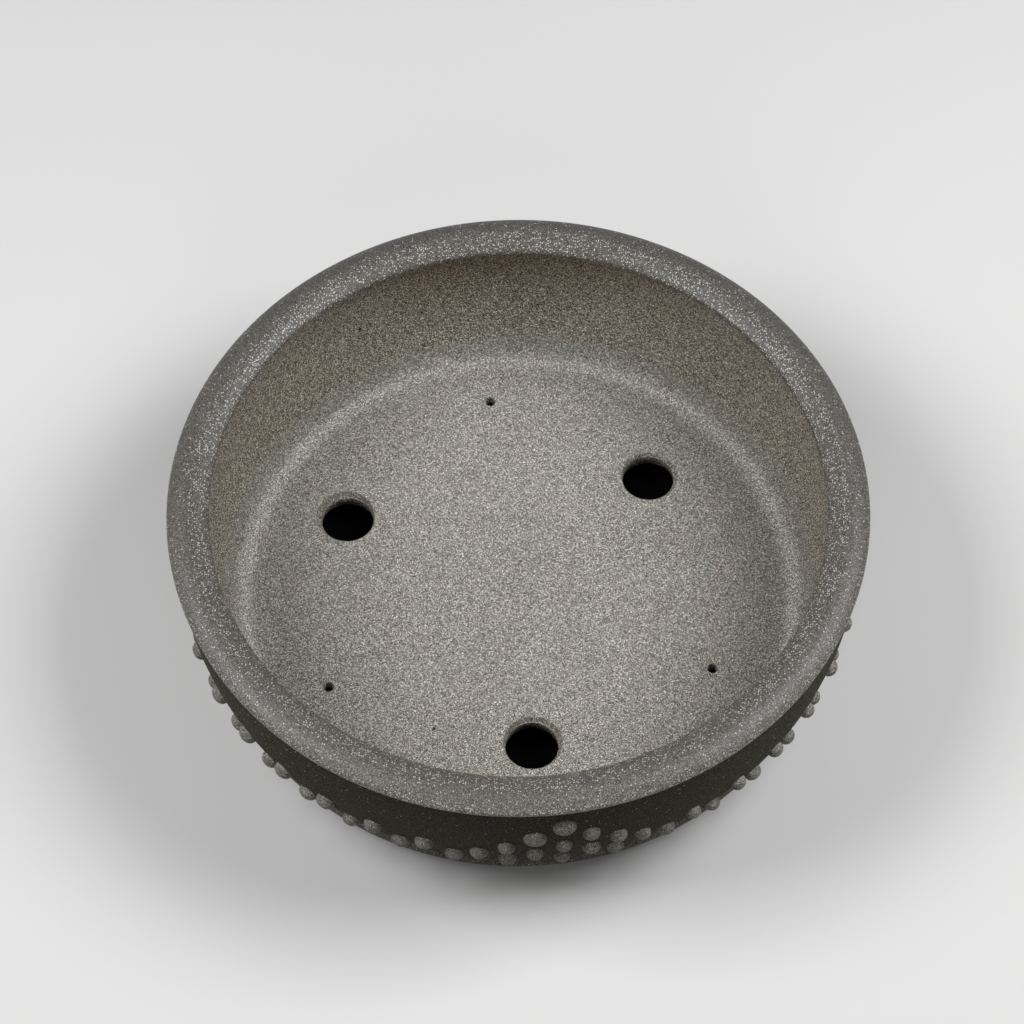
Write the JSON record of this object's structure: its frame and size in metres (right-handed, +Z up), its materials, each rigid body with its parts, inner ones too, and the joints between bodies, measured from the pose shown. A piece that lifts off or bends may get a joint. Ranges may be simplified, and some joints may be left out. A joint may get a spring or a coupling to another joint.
{
  "type": "bonsai pot",
  "caption": "Round shallow drum-shaped bonsai pot in unglazed stoneware, with a rolled lip, a belt of drum nails with triangles, low feet and drain and wire holes in the floor.",
  "frame": {"origin": "on the bench that the feet stand on, under the centre of the mouth", "axes": "+Z up out of the mouth, -Y towards the front triangle of nails, +X to the right"},
  "size_m": [0.3198, 0.3206, 0.098],
  "materials": {
    "wall_clay": "matte",
    "lip_clay": "satin",
    "floor_clay": "matte",
    "nail_clay": "satin"
  },
  "bodies": {
    "root": {"floor_slab": "floor_clay", "barrel_wall": "wall_clay", "rim_lip": "lip_clay", "corner_cove": "floor_clay", "base_bead": "wall_clay", "nail_front_row1_l4": "nail_clay", "nail_front_row1_l2": "nail_clay", "nail_front_row1_middle": "nail_clay", "nail_front_row1_r2": "nail_clay", "nail_front_row1_r4": "nail_clay", "nail_front_row2_l3": "nail_clay", "nail_front_row2_l1": "nail_clay", "nail_front_row2_r1": "nail_clay", "nail_front_row2_r3": "nail_clay", "nail_front_row3_l2": "nail_clay", "nail_front_row3_middle": "nail_clay", "nail_front_row3_r2": "nail_clay", "nail_front_row4_l1": "nail_clay", "nail_front_row4_r1": "nail_clay", "nail_front_row5_middle": "nail_clay", "nail_right_row1_l4": "nail_clay", "nail_right_row1_l2": "nail_clay", "nail_right_row1_middle": "nail_clay", "nail_right_row1_r2": "nail_clay", "nail_right_row1_r4": "nail_clay", "nail_right_row2_l3": "nail_clay", "nail_right_row2_l1": "nail_clay", "nail_right_row2_r1": "nail_clay", "nail_right_row2_r3": "nail_clay", "nail_right_row3_l2": "nail_clay", "nail_right_row3_middle": "nail_clay", "nail_right_row3_r2": "nail_clay", "nail_right_row4_l1": "nail_clay", "nail_right_row4_r1": "nail_clay", "nail_right_row5_middle": "nail_clay", "nail_left_row1_l4": "nail_clay", "nail_left_row1_l2": "nail_clay", "nail_left_row1_middle": "nail_clay", "nail_left_row1_r2": "nail_clay", "nail_left_row1_r4": "nail_clay", "nail_left_row2_l3": "nail_clay", "nail_left_row2_l1": "nail_clay", "nail_left_row2_r1": "nail_clay", "nail_left_row2_r3": "nail_clay", "nail_left_row3_l2": "nail_clay", "nail_left_row3_middle": "nail_clay", "nail_left_row3_r2": "nail_clay", "nail_left_row4_l1": "nail_clay", "nail_left_row4_r1": "nail_clay", "nail_left_row5_middle": "nail_clay", "foot_front": "wall_clay", "foot_right": "wall_clay", "foot_left": "wall_clay"}
  },
  "joints": []
}
